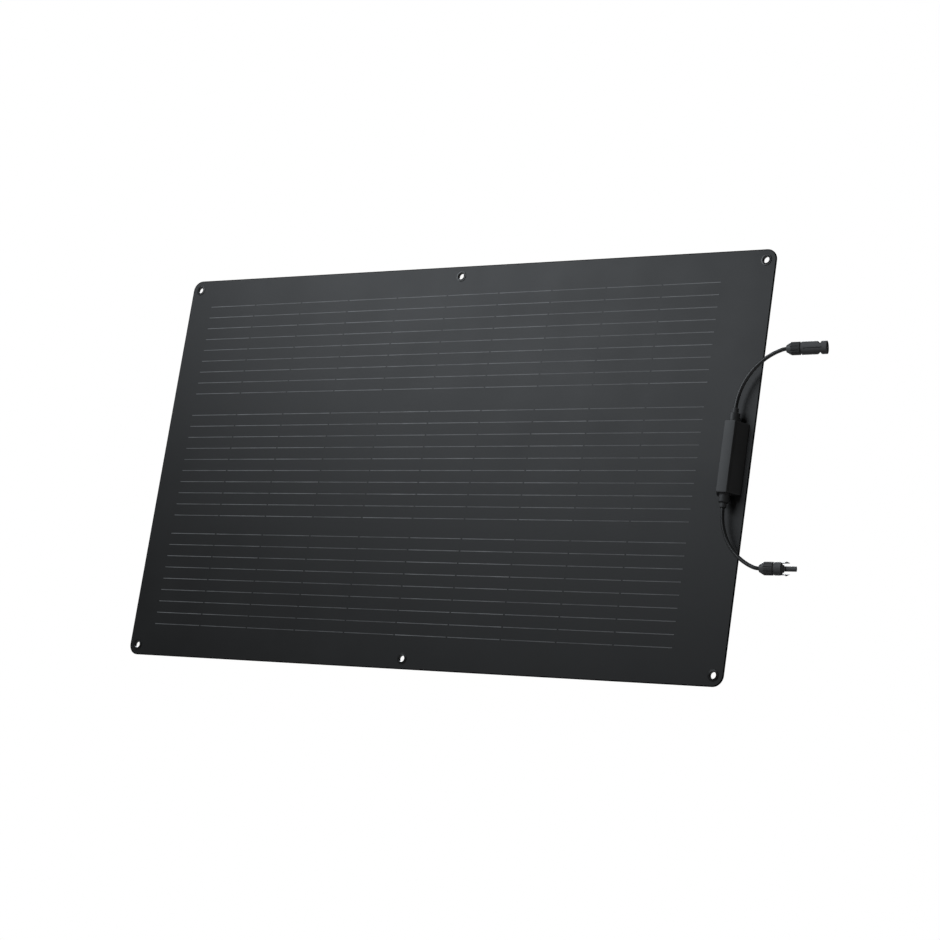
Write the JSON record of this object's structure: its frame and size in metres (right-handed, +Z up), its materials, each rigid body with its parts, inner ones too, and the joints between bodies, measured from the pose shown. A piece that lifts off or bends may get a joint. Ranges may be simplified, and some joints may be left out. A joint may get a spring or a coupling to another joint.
{
  "type": "flexible solar sheet",
  "caption": "Thin flexible laminate of solar half cells with edge eyelets, a slim junction box at one end and two short cables with pin and socket couplers.",
  "frame": {"origin": "centre of the sheet's rear face, midway between the corner eyelets", "axes": "+X along the sheet towards the junction box, +Z up its short side, +Y out of its rear face, so the cells face -Y"},
  "size_m": [1.1501, 0.0338, 0.612],
  "materials": {
    "front_film": "satin, finely dimpled",
    "cell": "dark blue-black silicon with thin tinned ribbons",
    "rear_sheet": "matt",
    "eyelet": "black, gloss",
    "tape": "foam",
    "box": "black, fine texture",
    "lid": "dark grey, fine texture",
    "seal": "matt",
    "diode": "moulded",
    "clip": "tinned",
    "lead": "tinned copper",
    "relief": "matt",
    "jacket": "smooth, satin",
    "strand": "copper",
    "coupler": "moulded, satin",
    "contact": "tinned",
    "nut": "moulded, satin",
    "ring": "matt"
  },
  "bodies": {
    "sheet_1": {"front_film_1": "front_film", "cell_strip_1": "cell", "back_sheet_1": "rear_sheet", "eyelets_left": "eyelet"},
    "sheet_2": {"front_film_2": "front_film", "cell_strip_2": "cell", "back_sheet_2": "rear_sheet"},
    "sheet_3": {"front_film_3": "front_film", "cell_strip_3": "cell", "back_sheet_3": "rear_sheet"},
    "sheet_4": {"front_film_4": "front_film", "cell_strip_4": "cell", "back_sheet_4": "rear_sheet"},
    "sheet_5": {"front_film_5": "front_film", "cell_strip_5": "cell", "back_sheet_5": "rear_sheet"},
    "sheet_6": {"front_film_6": "front_film", "cell_strip_6": "cell", "back_sheet_6": "rear_sheet", "eyelets_centre": "eyelet"},
    "sheet_7": {"front_film_7": "front_film", "cell_strip_7": "cell", "back_sheet_7": "rear_sheet"},
    "sheet_8": {"front_film_8": "front_film", "cell_strip_8": "cell", "back_sheet_8": "rear_sheet"},
    "sheet_9": {"front_film_9": "front_film", "cell_strip_9": "cell", "back_sheet_9": "rear_sheet"},
    "sheet_10": {"front_film_10": "front_film", "cell_strip_10": "cell", "back_sheet_10": "rear_sheet", "eyelets_right": "eyelet", "box_tape": "tape", "box_body": "box", "box_lid": "lid", "lid_seal": "seal", "bypass_diode": "diode", "terminal_clips": "clip", "bus_leads": "lead", "strain_reliefs": "relief"},
    "upper_inner": {"upper_cable_inner": "jacket", "upper_strand_inner": "strand"},
    "upper_outer": {"upper_cable_outer": "jacket", "upper_strand_outer": "strand", "pin_housing": "coupler", "pin_contact": "contact", "pin_cable_seal": "seal"},
    "pin_nut": {"pin_cap_nut": "nut"},
    "lower_inner": {"lower_cable_inner": "jacket", "lower_strand_inner": "strand"},
    "lower_outer": {"lower_cable_outer": "jacket", "lower_strand_outer": "strand", "socket_housing": "coupler", "socket_contact": "contact", "socket_cable_seal": "seal", "nose_ring": "ring"},
    "socket_nut": {"socket_cap_nut": "nut"},
    "latch_arm_upper": {"latch_arm_upper": "coupler"},
    "latch_arm_lower": {"latch_arm_lower": "coupler"}
  },
  "joints": [
    {"name": "sheet_bend_1", "type": "hinge", "parent": "sheet_2", "child": "sheet_1", "pos_m": [-0.3918, -0.00125, 0], "axis": [0, 0, -1], "range_deg": [-22, 22]},
    {"name": "sheet_bend_2", "type": "hinge", "parent": "sheet_3", "child": "sheet_2", "pos_m": [-0.2989, -0.00125, 0], "axis": [0, 0, -1], "range_deg": [-22, 22]},
    {"name": "sheet_bend_3", "type": "hinge", "parent": "sheet_4", "child": "sheet_3", "pos_m": [-0.206, -0.00125, 0], "axis": [0, 0, -1], "range_deg": [-22, 22]},
    {"name": "sheet_bend_4", "type": "hinge", "parent": "sheet_5", "child": "sheet_4", "pos_m": [-0.1131, -0.00125, 0], "axis": [0, 0, -1], "range_deg": [-22, 22]},
    {"name": "sheet_bend_5", "type": "hinge", "parent": "sheet_6", "child": "sheet_5", "pos_m": [-0.0202, -0.00125, 0], "axis": [0, 0, -1], "range_deg": [-22, 22]},
    {"name": "sheet_bend_6", "type": "hinge", "parent": "sheet_6", "child": "sheet_7", "pos_m": [0.0727, -0.00125, 0], "axis": [0, 0, 1], "range_deg": [-22, 22]},
    {"name": "sheet_bend_7", "type": "hinge", "parent": "sheet_7", "child": "sheet_8", "pos_m": [0.1656, -0.00125, 0], "axis": [0, 0, 1], "range_deg": [-22, 22]},
    {"name": "sheet_bend_8", "type": "hinge", "parent": "sheet_8", "child": "sheet_9", "pos_m": [0.2585, -0.00125, 0], "axis": [0, 0, 1], "range_deg": [-22, 22]},
    {"name": "sheet_bend_9", "type": "hinge", "parent": "sheet_9", "child": "sheet_10", "pos_m": [0.3514, -0.00125, 0], "axis": [0, 0, 1], "range_deg": [-22, 22]},
    {"name": "upper_cable_swing", "type": "hinge", "parent": "sheet_10", "child": "upper_inner", "pos_m": [0.5007, -0.0141, 0.055], "axis": [0, 0, 1], "range_deg": [-90, 8]},
    {"name": "upper_cable_bend", "type": "hinge", "parent": "upper_inner", "child": "upper_outer", "pos_m": [0.52068, -0.0141, 0.12939], "axis": [0, 1, 0], "range_deg": [-35, 45]},
    {"name": "lower_cable_swing", "type": "hinge", "parent": "sheet_10", "child": "lower_inner", "pos_m": [0.5007, -0.0141, -0.045], "axis": [0, 0, 1], "range_deg": [-90, 8]},
    {"name": "lower_cable_bend", "type": "hinge", "parent": "lower_inner", "child": "lower_outer", "pos_m": [0.52068, -0.0141, -0.11939], "axis": [0, -1, 0], "range_deg": [-35, 45]},
    {"name": "pin_nut_turn", "type": "hinge", "parent": "upper_outer", "child": "pin_nut", "pos_m": [0.56669, -0.01331, 0.15721], "axis": [0.9666, 0.241, 0.0872], "continuous": true},
    {"name": "socket_nut_turn", "type": "hinge", "parent": "lower_outer", "child": "socket_nut", "pos_m": [0.56667, -0.01295, -0.14631], "axis": [0.9686, 0.2415, 0.0593], "continuous": true},
    {"name": "latch_upper_squeeze", "type": "hinge", "parent": "lower_outer", "child": "latch_arm_upper", "pos_m": [0.59394, -0.00857, -0.13743], "axis": [-0.2479, 0.9184, 0.3085], "range_deg": [0, 7], "stiffness_Nm_per_rad": 0.05},
    {"name": "latch_lower_squeeze", "type": "hinge", "parent": "lower_outer", "child": "latch_arm_lower", "pos_m": [0.59364, -0.00381, -0.15186], "axis": [0.2479, -0.9184, -0.3085], "range_deg": [0, 7], "stiffness_Nm_per_rad": 0.05}
  ],
  "couplings": [
    {"joint": "sheet_bend_1", "follows": "sheet_bend_6", "ratio": 1},
    {"joint": "sheet_bend_2", "follows": "sheet_bend_6", "ratio": 1},
    {"joint": "sheet_bend_3", "follows": "sheet_bend_6", "ratio": 1},
    {"joint": "sheet_bend_4", "follows": "sheet_bend_6", "ratio": 1},
    {"joint": "sheet_bend_5", "follows": "sheet_bend_6", "ratio": 1},
    {"joint": "sheet_bend_7", "follows": "sheet_bend_6", "ratio": 1},
    {"joint": "sheet_bend_8", "follows": "sheet_bend_6", "ratio": 1},
    {"joint": "sheet_bend_9", "follows": "sheet_bend_6", "ratio": 1}
  ]
}
